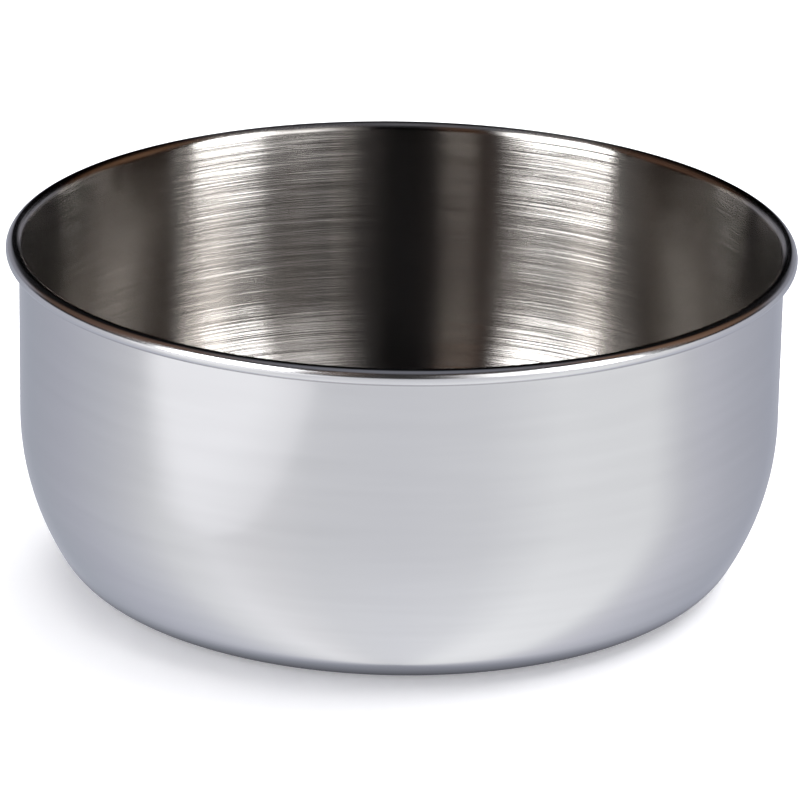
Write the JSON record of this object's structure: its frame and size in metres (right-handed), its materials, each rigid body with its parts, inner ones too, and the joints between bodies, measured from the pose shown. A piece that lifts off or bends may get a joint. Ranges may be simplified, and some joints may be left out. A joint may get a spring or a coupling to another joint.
{
  "type": "shaving bowl",
  "caption": "Deep-drawn stainless steel bowl with a straight wall, a rounded lower curve, a flat base and a hollow rolled rim, for working up shaving lather.",
  "frame": {"origin": "middle of the flat base, on the face that the bowl stands on", "axes": "+Z is the bowl's axis and points out of its mouth; X and Y lie in the standing face, and the bowl is round, so either may point anywhere"},
  "size_m": [0.12, 0.12, 0.0524],
  "materials": {
    "stainless_steel": "polished outside and on the rim, brushed round the inside"
  },
  "bodies": {
    "root": {"bowl": "stainless_steel"}
  },
  "joints": []
}
